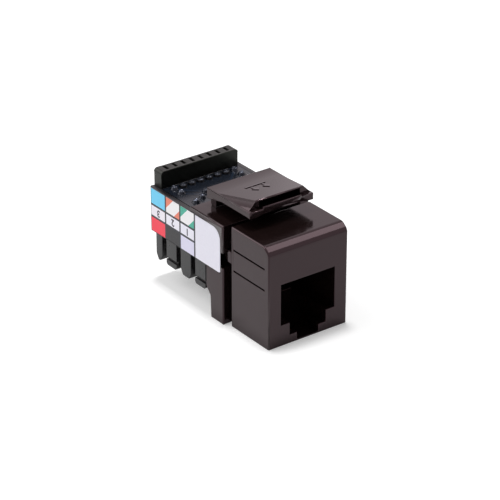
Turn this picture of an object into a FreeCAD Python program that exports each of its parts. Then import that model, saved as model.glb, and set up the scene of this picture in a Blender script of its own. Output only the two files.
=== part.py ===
import FreeCAD, Part
import math
import operator
import os
from types import SimpleNamespace

import Sketcher
from FreeCAD import Placement, Vector

# Keystone jack with a six-way modular port and insulation-displacement clips.
# X runs across the jack, Y from its front face to the back, Z up. The origin is under its middle.
# Every feature is drawn from the front face (Y = 0) and the bodies are then moved back by half the depth.

SIZES = (
    # alias, millimetres or a count, what it is
    ("fit_gap", 0.05, "clearance round a piece that slides into another"),
    ("pin_gap", 0.02, "clearance round a soldered or staked pin"),
    ("edge_round", 0.25, "radius of the collar's and block's outer edges"),
    ("fine_round", 0.15, "radius of the housing's foot and the latch's edges"),

    ("bezel_width", 14.5, "front housing, across the wall opening"),
    ("bezel_height", 16.6, "front housing, top to bottom"),
    ("bezel_depth", 9.2, "front face to the panel groove"),
    ("bevel_drop", 0.9, "top front bevel, down the front face"),
    ("bevel_run", 1.2, "top front bevel, along the top"),
    ("bezel_corner", 0.25, "radius of the front corners"),
    ("bevel_round", 1.1, "radius along the bevel's two edges"),
    ("groove_width", 1.1, "panel groove between bezel and collar"),

    ("sleeve_wall", 0.8, "sleeve wall beside the contact carrier"),
    ("sleeve_roof", 0.95, "sleeve roof over the contact carrier"),
    ("sleeve_back", 1.0, "sleeve behind the plug cavity"),
    ("catch_width", 10.0, "panel catch under the sleeve"),
    ("catch_height", 1.1, "panel catch, depth up into the sleeve"),
    ("shelf_reach", 4.9, "shelf under the cable, behind the sleeve"),
    ("shelf_width", 6.4, "shelf under the cable, between the legs"),
    ("shelf_height", 1.2, "shelf under the cable"),

    ("plug_width", 9.92, "plug cavity"),
    ("plug_height", 6.7, "plug cavity"),
    ("plug_floor", 3.46, "plug cavity floor above the bottom"),
    ("plug_reach", 13.0, "plug cavity depth"),
    ("lever_width", 6.67, "first step of the opening"),
    ("lever_floor", 1.46, "first step above the bottom"),
    ("lever_reach", 8.6, "how far the lever channel goes in"),
    ("tab_width", 3.95, "second step of the opening"),
    ("tab_floor", 0.3, "second step above the bottom"),
    ("front_wall", 1.5, "wall that the plug's lever catches behind"),

    ("arm_low", 9.55, "height of the lower slit of the side arm"),
    ("arm_height", 3.45, "lower slit to the upper slit"),
    ("slit_width", 0.22, "slit beside the side arm"),
    ("slit_depth", 0.6, "slit beside the side arm"),
    ("slit_front", 1.0, "front end of the slits"),
    ("slit_end_wall", 0.55, "left between the slits and the panel groove"),
    ("key_lift", 1.05, "underside of the locating key above the window's"),
    ("key_overlap", 0.5, "top of the locating key above the window's"),
    ("key_thickness", 0.8, "how far the key stands off the sleeve"),
    ("tongue_thickness", 0.5, "key's nose inside the collar window"),
    ("tongue_reach", 1.0, "key's nose beyond the collar's front"),

    ("cheek_wall", 1.5, "collar beside the sleeve"),
    ("collar_drop", 0.2, "collar's top below the bezel's"),
    ("collar_overhang", 0.6, "collar behind the sleeve, above the rake"),
    ("cheek_setback", 0.55, "collar's foot in front of the sleeve's rear"),
    ("rake_setback", 0.4, "foot of the raked rear edge in front of the sleeve's rear"),
    ("rake_foot", 3.6, "where the raked rear edge begins"),
    ("rake_height", 4.8, "where the raked rear edge ends"),
    ("deck_reach", 3.9, "deck behind the collar"),
    ("deck_thickness", 0.7, "deck over the board's front edge"),
    ("window_low", 9.4, "collar window"),
    ("window_height", 2.5, "collar window"),
    ("window_depth", 2.1, "collar window, from the collar's front"),

    ("latch_width", 11.66, "latch plate"),
    ("latch_length", 10.85, "latch plate"),
    ("latch_back", 1.3, "latch plate's rear edge ahead of the deck's"),
    ("latch_rise", 3.1, "top of the latch plate above the deck"),
    ("latch_thickness", 1.05, "latch plate at its front"),
    ("latch_root_thickness", 1.84, "latch plate at its rear"),
    ("latch_taper", 3.7, "length of the thicker stretch"),
    ("latch_corner", 0.3, "corner radius of the latch plate"),
    ("latch_lip_width", 7.0, "lip along the latch plate's front edge"),
    ("latch_lip_depth", 0.3, "lip along the latch plate's front edge"),
    ("latch_lip_rise", 0.33, "lip along the latch plate's front edge"),
    ("root_width", 10.2, "wall that carries the latch plate"),
    ("root_wall", 1.3, "wall that carries the latch plate"),
    ("root_seat", 0.15, "depth of the seat in the deck"),
    ("ramp_width", 8.6, "ramp on the latch, along its peak"),
    ("ramp_foot_inset", 0.25, "foot of the ramp's flanks inside the plate's edge"),
    ("ramp_setback", 0.72, "ramp's face behind the plate's front edge"),
    ("ramp_length", 7.4, "ramp"),
    ("ramp_rise", 1.33, "ramp's height at its front"),
    ("ramp_hollow_width", 7.5, "hollow in the ramp"),
    ("ramp_roof", 0.28, "wall over the hollow"),
    ("ramp_hollow_sink", 0.15, "floor of the hollow below the plate's top"),
    ("arch_width", 9.4, "arch under the latch's front edge"),
    ("arch_rise", 0.55, "arch under the latch's front edge"),
    ("arch_depth", 1.2, "arch under the latch's front edge"),

    ("block_floor", 8.3, "underside of the block and its skirts"),
    ("leg_bottom", 3.1, "tips of the legs"),
    ("leg_outside", 1.4, "clip's middle plane to the legs' outer faces"),
    ("leg_inside", 2.2, "clip's middle plane to the legs' inner faces"),
    ("leg_setback", 1.55, "front legs behind the collar"),
    ("leg_tip_run", 0.55, "chamfer of a pointed leg, along"),
    ("leg_tip_rise", 0.95, "chamfer of a pointed leg, up"),
    ("leg_blunt", 0.35, "chamfer of a blunt leg"),
    ("lip_notch_low", 1.0, "notch above a blunt leg's tip"),
    ("lip_notch_height", 0.45, "notch of a blunt leg"),
    ("lip_notch_depth", 0.35, "notch of a blunt leg"),
    ("column_pitch", 3.8, "one wire slot to the next"),
    ("last_leg", 1.65, "rearmost leg, along the jack"),
    ("wire_slot", 1.1, "gap between two legs"),
    ("rim_width", 0.8, "rim of the block beside the board"),
    ("channel_gap", 0.17, "contact wires to the channel's sides and floor"),
    ("channel_end", 0.8, "rear row of wire tails to the channel's end"),
    ("peg_diameter", 1.0, "staked pegs through the board"),
    ("peg_lip", 0.15, "staked heads beyond the pegs"),
    ("peg_head_height", 0.32, "staked heads"),
    ("peg_dimple", 0.6, "dimple that the staking tool leaves in a head"),
    ("peg_dimple_depth", 0.18, "dimple that the staking tool leaves in a head"),
    ("peg_count", 6, "staked pegs"),
    ("hook_low", 9.2, "block's hooks in the collar"),
    ("hook_height", 2.3, "block's hooks in the collar"),
    ("hook_thickness", 0.5, "block's hooks in the collar"),
    ("hook_reach", 1.4, "block's hooks in the collar"),

    ("board_thickness", 1.0, "circuit board"),
    ("board_front_gap", 0.4, "board's front edge behind the collar"),
    ("board_rear_gap", 0.1, "board's rear edge ahead of the bar"),
    ("hole_gap", 0.1, "board holes round pins"),
    ("pin_pitch", 1.6, "board holes across the jack"),

    ("bar_width", 14.3, "rear bar"),
    ("bar_depth", 2.0, "rear bar"),
    ("bar_height", 2.8, "rear bar"),
    ("bar_corner", 0.55, "rear bar's top corners"),
    ("bar_slot_count", 8, "slots across the bar's top"),
    ("bar_slot_width", 0.45, "slots across the bar's top"),
    ("bar_slot_depth", 0.5, "slots across the bar's top"),
    ("bar_slot_end", 0.38, "bar in front of and behind each slot"),
    ("bar_peg_place", 2.8, "bar's pegs from the middle"),
    ("bar_peg_length", 1.6, "bar's pegs"),

    ("clip_thickness", 0.5, "clip metal"),
    ("clip_width", 2.6, "clip, along the jack"),
    ("clip_recess", 1.3, "clip's tips above the legs'"),
    ("clip_slit", 0.2, "slit that grips the wire"),
    ("clip_slit_length", 6.1, "slit with its mouth"),
    ("clip_mouth", 0.8, "mouth of the slit"),
    ("clip_mouth_rise", 1.2, "height of the mouth"),
    ("clip_tail", 0.6, "clip's tail through the board"),
    ("tail_shift", 0.95, "tail off the clip's middle"),
    ("tail_stub", 0.35, "tails above the board"),

    ("carrier_ledge", 0.59, "contact carrier beyond each side of the cavity"),
    ("carrier_height", 2.74, "contact carrier"),
    ("carrier_front", 3.3, "contact carrier, from the front face"),
    ("carrier_end", 1.0, "contact carrier's rear ahead of the cavity's"),
    ("carrier_lead", 1.4, "room ahead of the carrier for the wires' noses"),
    ("comb_gap", 0.07, "spring ends to the sides of their slots"),
    ("comb_depth", 0.94, "slots for the spring ends"),

    ("wire_diameter", 0.46, "contact wire"),
    ("wire_count", 6, "contact wires"),
    ("wire_pitch", 1.016, "contact wires in the cavity"),
    ("wire_sink", 0.3, "wires below the carrier's top"),
    ("nose_lead", 0.8, "wires' noses ahead of the carrier"),
    ("nose_rise", 0.74, "corner where the wires turn back, above the cavity"),
    ("tip_inset", 1.6, "spring ends ahead of the carrier's rear"),
    ("tip_drop", 2.21, "spring ends below the cavity's top"),
    ("wire_bend", 0.7, "bend radius of a wire"),
    ("fan_start", 0.6, "where the wires start to spread, behind the carrier"),
    ("fan_end", 0.8, "where the wires have spread, behind the board's front edge"),
    ("tail_row_place", 6.0, "front row of wire tails, behind the board's front edge"),
    ("tail_row_step", 1.4, "front row of wire tails to the rear row"),

    ("solder_foot", 0.33, "solder beyond the pin at the board"),
    ("solder_lip", 0.08, "solder beyond the pin at its top"),
    ("solder_height", 0.3, "solder fillet"),

    ("label_setback", 0.75, "label's front edge behind the collar's"),
    ("label_inset", 0.3, "label's rear edge ahead of the back"),
    ("label_rise", 0.1, "label's lower edge above the block's"),
    ("label_drop", 0.2, "label's upper edge below the block's"),
    ("label_thickness", 0.1, "label"),
    ("label_corner", 1.8, "label's upper front corner"),
    ("label_small_corner", 0.4, "label's lower front corner"),
    ("label_gap", 0.05, "label to the edge of its recess"),
)

OPERATIONS = {"+": operator.add, "-": operator.sub, "*": operator.mul, "/": operator.truediv}
PLANE_ROLES = {"front": "XZ_Plane", "side": "YZ_Plane", "top": "XY_Plane"}
SAME = 0.001


class Size:
    """A number together with the spreadsheet expression that drives it."""

    def __init__(self, text, value):
        self.text = text
        self.value = value

    def joined(self, sign, other, swapped=False):
        other = as_size(other)
        left, right = (other, self) if swapped else (self, other)
        value = OPERATIONS[sign](left.value, right.value)
        return Size(f"({left.text} {sign} {right.text})", value)

    def __add__(self, other):
        return self.joined("+", other)

    def __sub__(self, other):
        return self.joined("-", other)

    def __mul__(self, other):
        return self.joined("*", other)

    def __truediv__(self, other):
        return self.joined("/", other)

    def __radd__(self, other):
        return self.joined("+", other, swapped=True)

    def __rsub__(self, other):
        return self.joined("-", other, swapped=True)

    def __rmul__(self, other):
        return self.joined("*", other, swapped=True)

    def __neg__(self):
        return 0 - self


def as_size(number):
    return number if isinstance(number, Size) else Size(f"{number:g}", number)


def bind(item, prop, size):
    """Ties a property of an object to the spreadsheet."""
    item.setExpression(prop, as_size(size).text)


# Document, spreadsheet and the places worked out from it


def new_document():
    doc = FreeCAD.newDocument("KeystoneJack")
    sheet = doc.addObject("Spreadsheet::Sheet", "Sizes")
    for row, (alias, value, note) in enumerate(SIZES, start=1):
        sheet.set(f"A{row}", alias)
        sheet.set(f"B{row}", str(value))
        sheet.set(f"C{row}", note)
        sheet.setAlias(f"B{row}", alias)
    doc.recompute()
    return doc


def read_sizes():
    return SimpleNamespace(**{alias: Size(f"Sizes.{alias}", value) for alias, value, note in SIZES})


def add_places(s):
    """Planes and places that several pieces share, all from the driving sizes."""
    add_port_places(s)
    add_block_places(s)
    s.latch_top = s.collar_height + s.latch_rise
    s.latch_rear = s.deck_rear - s.latch_back
    s.latch_front = s.latch_rear - s.latch_length
    s.pivot_y = s.latch_rear - s.root_wall / 2
    s.pivot_z = s.collar_height + s.root_wall / 2 - s.root_seat
    s.label_front = s.collar_front + s.label_setback
    s.label_rear = s.overall_depth - s.label_inset
    s.label_bottom = s.block_floor + s.label_rise
    s.label_top = s.board_top - s.label_drop
    return s


def add_port_places(s):
    """The plug cavity sets the carrier, the sleeve round it and the collar round the sleeve."""
    s.plug_top = s.plug_floor + s.plug_height
    s.carrier_width = s.plug_width + s.carrier_ledge * 2
    s.carrier_top = s.plug_top + s.carrier_height
    s.carrier_rear = s.plug_reach - s.carrier_end
    s.sleeve_width = s.carrier_width + (s.fit_gap + s.sleeve_wall) * 2
    s.sleeve_height = s.carrier_top + s.fit_gap + s.sleeve_roof
    s.sleeve_rear = s.plug_reach + s.sleeve_back
    s.collar_width = s.sleeve_width + (s.fit_gap + s.cheek_wall) * 2
    s.collar_height = s.bezel_height - s.collar_drop
    s.collar_front = s.bezel_depth + s.groove_width
    s.collar_rear = s.sleeve_rear + s.collar_overhang
    s.deck_rear = s.collar_rear + s.deck_reach
    s.window_high = s.window_low + s.window_height
    s.wire_run = s.carrier_top - s.wire_sink


def add_block_places(s):
    """The block starts at the collar and is as long as its three wire slots need."""
    front_slot = s.collar_rear + s.leg_setback + s.column_pitch - s.wire_slot / 2
    s.columns = [front_slot + s.column_pitch * number for number in (2, 1, 0)]
    s.overall_depth = s.columns[0] + s.wire_slot / 2 + s.last_leg
    s.bar_front = s.overall_depth - s.bar_depth
    s.board_top = s.collar_height - s.deck_thickness
    s.board_bottom = s.board_top - s.board_thickness
    s.board_front = s.collar_rear + s.board_front_gap
    s.board_rear = s.bar_front - s.board_rear_gap
    s.pin_row = s.columns[0] - s.tail_shift
    s.tail_rows = [s.board_front + s.tail_row_place]
    s.tail_rows.append(s.tail_rows[0] + s.tail_row_step)
    s.tail_top = s.board_top + s.tail_stub
    s.clip_plane = spread(s.wire_count, s.wire_count, s.pin_pitch)
    s.clip_bottom = s.leg_bottom + s.clip_recess
    s.clip_top = s.board_bottom - s.hole_gap
    s.leg_outer = s.clip_plane + s.leg_outside
    s.leg_inner = s.clip_plane - s.leg_inside


def column_tail(s, number):
    """The rearmost clip's tail stands ahead of its clip, clear of the bar. The others stand behind."""
    return s.pin_row if number == 0 else s.columns[number] + s.tail_shift


def spread(number, count, pitch):
    """Place of one of a row of evenly spaced things, about the middle plane."""
    return pitch * (number - (count - 1) / 2)


# Sketches


def new_body(doc, name, s):
    body = doc.addObject("PartDesign::Body", name)
    body.Label = name
    bind(body, "Placement.Base.y", -s.overall_depth / 2)
    return body


def origin_plane(body, view):
    return next(plane for plane in body.Origin.OriginFeatures if plane.Role == PLANE_ROLES[view])


def origin_axis(body, role):
    return next(axis for axis in body.Origin.OriginFeatures if axis.Role == role)


def new_sketch(body, name, view, distance):
    """A sketch on the front, side or top plane, moved along +Y, +X or +Z by a distance."""
    sketch = body.newObject("Sketcher::SketchObject", name)
    sketch.AttachmentSupport = [(origin_plane(body, view), "")]
    sketch.MapMode = "FlatFace"
    distance = as_size(distance)
    bind(sketch, "AttachmentOffset.Base.z", -distance if view == "front" else distance)
    return sketch


def place_point(sketch, geometry, end, across, up):
    """Holds one point of a sketch at a place given by two sizes."""
    for kind, size in (("DistanceX", across), ("DistanceY", up)):
        index = sketch.addConstraint(Sketcher.Constraint(kind, -1, 1, geometry, end, float(size.value)))
        bind(sketch, f"Constraints[{index}]", size)


def outline(sketch, corners):
    """A closed outline with straight sides."""
    corners = [(as_size(across), as_size(up)) for across, up in corners]
    points = [Vector(across.value, up.value, 0) for across, up in corners]
    lines = []
    for start, end in zip(points, points[1:] + points[:1]):
        lines.append(sketch.addGeometry(Part.LineSegment(start, end), False))
    for line, following in zip(lines, lines[1:] + lines[:1]):
        sketch.addConstraint(Sketcher.Constraint("Coincident", line, 2, following, 1))
    for line, (across, up) in zip(lines, corners):
        place_point(sketch, line, 1, across, up)


def rectangle(sketch, left, bottom, right, top):
    outline(sketch, [(left, bottom), (right, bottom), (right, top), (left, top)])


def circle(sketch, across, up, radius):
    across, up, radius = as_size(across), as_size(up), as_size(radius)
    centre = Vector(across.value, up.value, 0)
    ring = sketch.addGeometry(Part.Circle(centre, Vector(0, 0, 1), radius.value), False)
    place_point(sketch, ring, 3, across, up)
    index = sketch.addConstraint(Sketcher.Constraint("Radius", ring, float(radius.value)))
    bind(sketch, f"Constraints[{index}]", radius)


def arch(sketch, half_width, foot, rise):
    """A flat-bottomed arch: a chord at foot height and an arc above it, about the middle."""
    radius = (half_width * half_width + rise * rise) / (rise * 2)
    centre = foot + rise - radius
    reach = math.atan2((foot - centre).value, half_width.value)
    ring = Part.Circle(Vector(0, centre.value, 0), Vector(0, 0, 1), radius.value)
    arc = sketch.addGeometry(Part.ArcOfCircle(ring, reach, math.pi - reach), False)
    ends = (Vector(-half_width.value, foot.value, 0), Vector(half_width.value, foot.value, 0))
    chord = sketch.addGeometry(Part.LineSegment(*ends), False)
    sketch.addConstraint(Sketcher.Constraint("Coincident", arc, 2, chord, 1))
    sketch.addConstraint(Sketcher.Constraint("Coincident", arc, 1, chord, 2))
    place_point(sketch, chord, 1, -half_width, foot)
    place_point(sketch, chord, 2, half_width, foot)
    index = sketch.addConstraint(Sketcher.Constraint("Radius", arc, float(radius.value)))
    bind(sketch, f"Constraints[{index}]", radius)


# Features


def extrude(body, kind, sketch, length, reverse=False, both_ways=False):
    feature = body.newObject(f"PartDesign::{kind}", sketch.Name.replace("_sketch", ""))
    feature.Profile = sketch
    bind(feature, "Length", length)
    feature.Reversed = reverse
    if both_ways:
        feature.SideType = "Symmetric"
    sketch.Visibility = False
    return feature


def pad_across(body, name, corners, width):
    """A pad of a side outline, as wide to the left as to the right."""
    sketch = new_sketch(body, f"{name}_sketch", "side", 0)
    outline(sketch, corners)
    return extrude(body, "Pad", sketch, width, both_ways=True)


def cut_across(body, name, corners, width):
    sketch = new_sketch(body, f"{name}_sketch", "side", 0)
    outline(sketch, corners)
    return extrude(body, "Pocket", sketch, width, both_ways=True)


def cut_back(body, name, start, length, half_width, bottom, top):
    """A pocket with a rectangular section that runs towards the back."""
    sketch = new_sketch(body, f"{name}_sketch", "front", start)
    rectangle(sketch, -half_width, bottom, half_width, top)
    return extrude(body, "Pocket", sketch, length)


def pad_back(body, name, start, length, half_width, bottom, top):
    sketch = new_sketch(body, f"{name}_sketch", "front", start)
    rectangle(sketch, -half_width, bottom, half_width, top)
    return extrude(body, "Pad", sketch, length, reverse=True)


def mirror(body, name, features):
    """The same features on the other side of the middle plane."""
    feature = body.newObject("PartDesign::Mirrored", name)
    feature.Originals = features
    feature.MirrorPlane = (origin_plane(body, "side"), [""])
    body.Tip = feature
    return feature


def row_across(body, name, features, pitch, count):
    """Repeats features along +X."""
    feature = body.newObject("PartDesign::LinearPattern", name)
    feature.Originals = features
    feature.Direction = (origin_axis(body, "X_Axis"), [""])
    feature.Mode = "Spacing"
    bind(feature, "Offset", pitch)
    bind(feature, "Occurrences", count)
    body.Tip = feature
    return feature


def edges_where(shape, test):
    """Names of the edges whose middle point and direction pass a test."""
    names = []
    for number, edge in enumerate(shape.Edges, start=1):
        if edge.Degenerated:
            continue
        middle = edge.valueAt((edge.FirstParameter + edge.LastParameter) / 2)
        along = edge.tangentAt((edge.FirstParameter + edge.LastParameter) / 2)
        if test(middle, along):
            names.append(f"Edge{number}")
    return names


def soften(body, kind, name, base, prop, size, test):
    """A fillet or a chamfer on the edges of the last feature that pass a test."""
    body.Document.recompute()
    feature = body.newObject(f"PartDesign::{kind}", name)
    feature.Base = (base, edges_where(base.Shape, test))
    bind(feature, prop, size)
    return feature


def near(value, size):
    return abs(value - as_size(size).value) < SAME


# Front housing


def front_housing(doc, s):
    body = new_body(doc, "front_housing", s)
    bezel_block(body, s)
    plug_opening(body, s)
    side_arms(body, s)
    return body


def bezel_block(body, s):
    corners = [
        (0, 0), (s.bezel_depth, 0), (s.bezel_depth, s.bezel_height),
        (s.bevel_run, s.bezel_height), (0, s.bezel_height - s.bevel_drop),
    ]
    bezel = pad_across(body, "bezel", corners, s.bezel_width)
    half = s.bezel_width / 2

    def front_corner(middle, along):
        return near(middle.y, 0) and near(abs(middle.x), half) and abs(along.z) > 1 - SAME

    def bevel_edge(middle, along):
        bevel_ends = near(middle.z, s.bezel_height - s.bevel_drop) or near(middle.y, s.bevel_run)
        return abs(along.x) > 1 - SAME and bevel_ends

    def foot_or_rear(middle, along):
        on_side = near(abs(middle.x), half)
        at_foot = near(middle.z, 0) and (on_side or near(middle.y, 0))
        return at_foot or on_side and near(middle.y, s.bezel_depth)

    rounded = soften(body, "Fillet", "bevel_edges", bezel, "Radius", s.bevel_round, bevel_edge)
    rounded = soften(body, "Fillet", "corner_round", rounded, "Radius", s.bezel_corner, front_corner)
    soften(body, "Fillet", "foot_round", rounded, "Radius", s.fine_round, foot_or_rear)
    behind = s.sleeve_rear - s.bezel_depth
    pad_back(body, "sleeve", s.bezel_depth, behind, s.sleeve_width / 2, 0, s.sleeve_height)
    pad_back(body, "foot_shelf", s.sleeve_rear, s.shelf_reach, s.shelf_width / 2, 0, s.shelf_height)
    cut_back(body, "panel_catch", s.bezel_depth, s.groove_width, s.catch_width / 2, 0, s.catch_height)


def plug_opening(body, s):
    """Stepped opening, the cavity behind it, the lever channel and the slot for the carrier."""
    cut_back(body, "plug_cavity", 0, s.plug_reach, s.plug_width / 2, s.plug_floor, s.plug_top)
    cut_back(body, "lever_step", 0, s.lever_reach, s.lever_width / 2, s.lever_floor, s.plug_floor)
    cut_back(body, "tab_step", 0, s.lever_reach, s.tab_width / 2, s.tab_floor, s.lever_floor)
    behind = s.lever_reach - s.front_wall
    cut_back(body, "lever_channel", s.front_wall, behind, s.lever_width / 2, s.tab_floor, s.lever_floor)
    slot_front = s.carrier_front - s.carrier_lead
    slot_half = s.carrier_width / 2 + s.fit_gap
    slot_top = s.carrier_top + s.fit_gap
    cut_back(body, "carrier_slot", slot_front, s.sleeve_rear - slot_front, slot_half, s.plug_top, slot_top)


def side_arms(body, s):
    """Slits beside each springy side arm, and the key at its rear end."""
    slits = new_sketch(body, "arm_slits_sketch", "side", s.bezel_width / 2)
    slit_rear = s.bezel_depth - s.slit_end_wall
    for height in (s.arm_low, s.arm_low + s.arm_height):
        rectangle(slits, s.slit_front, height - s.slit_width / 2, slit_rear, height + s.slit_width / 2)
    arm_slits = extrude(body, "Pocket", slits, s.slit_depth)
    key_end = s.collar_front - s.fit_gap
    key_low = s.window_low + s.key_lift
    block = new_sketch(body, "arm_key_sketch", "side", s.sleeve_width / 2)
    rectangle(block, s.bezel_depth, key_low, key_end, s.window_high + s.key_overlap)
    arm_key = extrude(body, "Pad", block, s.key_thickness)
    nose = new_sketch(body, "key_nose_sketch", "side", s.sleeve_width / 2)
    nose_top = s.window_high - s.fit_gap * 2
    rectangle(nose, key_end, key_low, s.collar_front + s.tongue_reach, nose_top)
    key_nose = extrude(body, "Pad", nose, s.tongue_thickness)
    mirror(body, "other_arm", [arm_slits, arm_key, key_nose])


# Rear collar and the latch that stands on its deck


def rear_collar(doc, s):
    body = new_body(doc, "rear_collar", s)
    corners = [
        (s.collar_front, 0), (s.sleeve_rear - s.cheek_setback, 0),
        (s.sleeve_rear - s.rake_setback, s.rake_foot), (s.collar_rear, s.rake_height),
        (s.collar_rear, s.board_top), (s.deck_rear, s.board_top),
        (s.deck_rear, s.collar_height), (s.collar_front, s.collar_height),
    ]
    shell = pad_across(body, "collar", corners, s.collar_width)
    half = s.collar_width / 2

    def outer_edge(middle, along):
        on_side = near(abs(middle.x), half)
        return on_side and (near(middle.y, s.collar_front) or near(middle.z, s.collar_height))

    soften(body, "Fillet", "collar_round", shell, "Radius", s.edge_round, outer_edge)
    tunnel_half = s.sleeve_width / 2 + s.fit_gap
    tunnel_length = s.collar_rear - s.collar_front
    cut_back(body, "tunnel", s.collar_front, tunnel_length, tunnel_half, 0, s.sleeve_height + s.fit_gap)
    window_rear = s.collar_front + s.window_depth
    cut_across(body, "window", box_corners(s.collar_front, s.window_low, window_rear, s.window_high),
               s.collar_width)
    latch_seat(body, s)
    hook_slots(body, s)
    label_recess(body, s)
    return body


def box_corners(left, bottom, right, top):
    return [(left, bottom), (right, bottom), (right, top), (left, top)]


def latch_seat(body, s):
    """A shallow round seat across the deck for the foot of the latch."""
    sketch = new_sketch(body, "latch_seat_sketch", "side", 0)
    circle(sketch, s.pivot_y, s.pivot_z, s.root_wall / 2 + s.fit_gap)
    extrude(body, "Pocket", sketch, s.root_width + s.fit_gap * 2, both_ways=True)


def hook_middle(s):
    """The hooks lie in the middle of the collar's cheeks, beside the label's recess."""
    cheek_inner = s.sleeve_width / 2 + s.fit_gap
    cheek_outer = s.collar_width / 2 - s.label_thickness
    return (cheek_inner + cheek_outer) / 2


def hook_slots(body, s):
    sketch = new_sketch(body, "hook_slot_sketch", "front", s.collar_rear - s.hook_reach - s.fit_gap)
    middle = hook_middle(s)
    half = s.hook_thickness / 2 + s.fit_gap
    low, high = s.hook_low - s.fit_gap, s.hook_low + s.hook_height + s.fit_gap
    rectangle(sketch, middle - half, low, middle + half, high)
    slot = extrude(body, "Pocket", sketch, s.hook_reach + s.fit_gap)
    mirror(body, "other_hook_slot", [slot])


def label_outline(sketch, s, margin):
    """The label's outline with its large upper front corner, grown by a margin."""
    front, rear = s.label_front - margin, s.label_rear + margin
    bottom, top = s.label_bottom - margin, s.label_top + margin
    corners = [
        (front, top - s.label_corner), (front, bottom), (rear, bottom), (rear, top),
        (front + s.label_corner, top),
    ]
    points = [Vector(across.value, up.value, 0) for across, up in corners]
    lines = [sketch.addGeometry(Part.LineSegment(*ends), False) for ends in zip(points, points[1:])]
    for line, following in zip(lines, lines[1:]):
        sketch.addConstraint(Sketcher.Constraint("Coincident", line, 2, following, 1))
    for line, (across, up) in zip(lines, corners):
        place_point(sketch, line, 1, across, up)
    place_point(sketch, lines[-1], 2, *corners[-1])
    centre = Vector(points[-1].x, points[0].y, 0)
    ring = Part.Circle(centre, Vector(0, 0, 1), s.label_corner.value)
    arc = sketch.addGeometry(Part.ArcOfCircle(ring, math.pi / 2, math.pi), False)
    sketch.addConstraint(Sketcher.Constraint("Coincident", arc, 1, lines[-1], 2))
    sketch.addConstraint(Sketcher.Constraint("Coincident", arc, 2, lines[0], 1))
    index = sketch.addConstraint(Sketcher.Constraint("Radius", arc, float(s.label_corner.value)))
    bind(sketch, f"Constraints[{index}]", s.label_corner)


def label_recess(body, s):
    """The label lies in a shallow recess on the left side, open at its lower edge."""
    sketch = new_sketch(body, "label_recess_sketch", "side", -s.collar_width / 2)
    label_outline(sketch, s, s.label_gap)
    extrude(body, "Pocket", sketch, s.label_thickness, reverse=True)


def snap_latch(doc, s):
    body = new_body(doc, "snap_latch", s)
    underside = s.latch_top - s.latch_thickness
    root_under = s.latch_top - s.latch_root_thickness
    plate = pad_across(body, "latch_plate", [
        (s.latch_front, underside), (s.latch_rear - s.latch_taper, underside),
        (s.latch_rear, root_under), (s.latch_rear, s.latch_top), (s.latch_front, s.latch_top),
    ], s.latch_width)
    half = s.latch_width / 2

    def upright_front(middle, along):
        return near(middle.y, s.latch_front) and near(abs(middle.x), half) and abs(along.z) > 1 - SAME

    soften(body, "Fillet", "latch_corners", plate, "Radius", s.latch_corner, upright_front)
    pad_across(body, "latch_root", box_corners(
        s.latch_rear - s.root_wall, s.pivot_z, s.latch_rear, s.latch_top - s.latch_thickness
    ), s.root_width)
    foot = new_sketch(body, "latch_foot_sketch", "side", 0)
    circle(foot, s.pivot_y, s.pivot_z, s.root_wall / 2)
    extrude(body, "Pad", foot, s.root_width, both_ways=True)
    latch_ramp(body, s)
    lip_arch = new_sketch(body, "lip_arch_sketch", "front", s.latch_front)
    arch(lip_arch, s.arch_width / 2, underside, s.arch_rise)
    arched = extrude(body, "Pocket", lip_arch, s.arch_depth)
    peak = s.latch_top + s.ramp_rise

    def long_edge_or_peak(middle, along):
        on_side = near(abs(middle.x), half) and near(middle.z, s.latch_top)
        return on_side and abs(along.y) > 1 - SAME or near(middle.z, peak)

    soften(body, "Fillet", "latch_edges", arched, "Radius", s.fine_round, long_edge_or_peak)
    return body


def latch_ramp(body, s):
    """The ramp that snaps behind the panel, hollow from its steep front."""
    front = s.latch_front + s.ramp_setback
    peak = s.latch_top + s.ramp_rise
    foot = s.latch_width / 2 - s.ramp_foot_inset
    pad_across(body, "ramp", [(front, s.latch_top), (front + s.ramp_length, s.latch_top), (front, peak)],
               foot * 2)
    flank = new_sketch(body, "ramp_flank_sketch", "front", front)
    outline(flank, [(-foot, s.latch_top), (-s.ramp_width / 2, peak), (-foot, peak)])
    mirror(body, "ramp_flanks", [extrude(body, "Pocket", flank, s.ramp_length)])
    lip_rear = s.latch_front + s.latch_lip_depth
    lip_top = s.latch_top + s.latch_lip_rise
    pad_across(body, "latch_lip", box_corners(s.latch_front, s.latch_top, lip_rear, lip_top),
               s.latch_lip_width)
    floor = s.latch_top - s.ramp_hollow_sink
    roof = peak - s.ramp_roof
    length = (s.ramp_rise - s.ramp_roof) * s.ramp_length / s.ramp_rise
    cut_across(body, "ramp_hollow", [
        (lip_rear, floor), (front + length, floor), (front + length, s.latch_top),
        (front, roof), (lip_rear, roof),
    ], s.ramp_hollow_width)


# Insulation-displacement block


def idc_block(doc, s):
    body = new_body(doc, "idc_block", s)
    corners = box_corners(s.collar_rear, s.block_floor, s.overall_depth, s.board_top)
    block = pad_across(body, "block", corners, s.collar_width)
    half = s.collar_width / 2

    def rear_corner(middle, along):
        return near(middle.y, s.overall_depth) and near(abs(middle.x), half)

    soften(body, "Fillet", "block_round", block, "Radius", s.edge_round, rear_corner)
    board_seat(body, s)
    block_legs(body, s)
    clip_pockets(body, s)
    block_hooks(body, s)
    staked_pegs(body, s)
    bar_sockets(body, s)
    label_recess(body, s)
    return body


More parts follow.
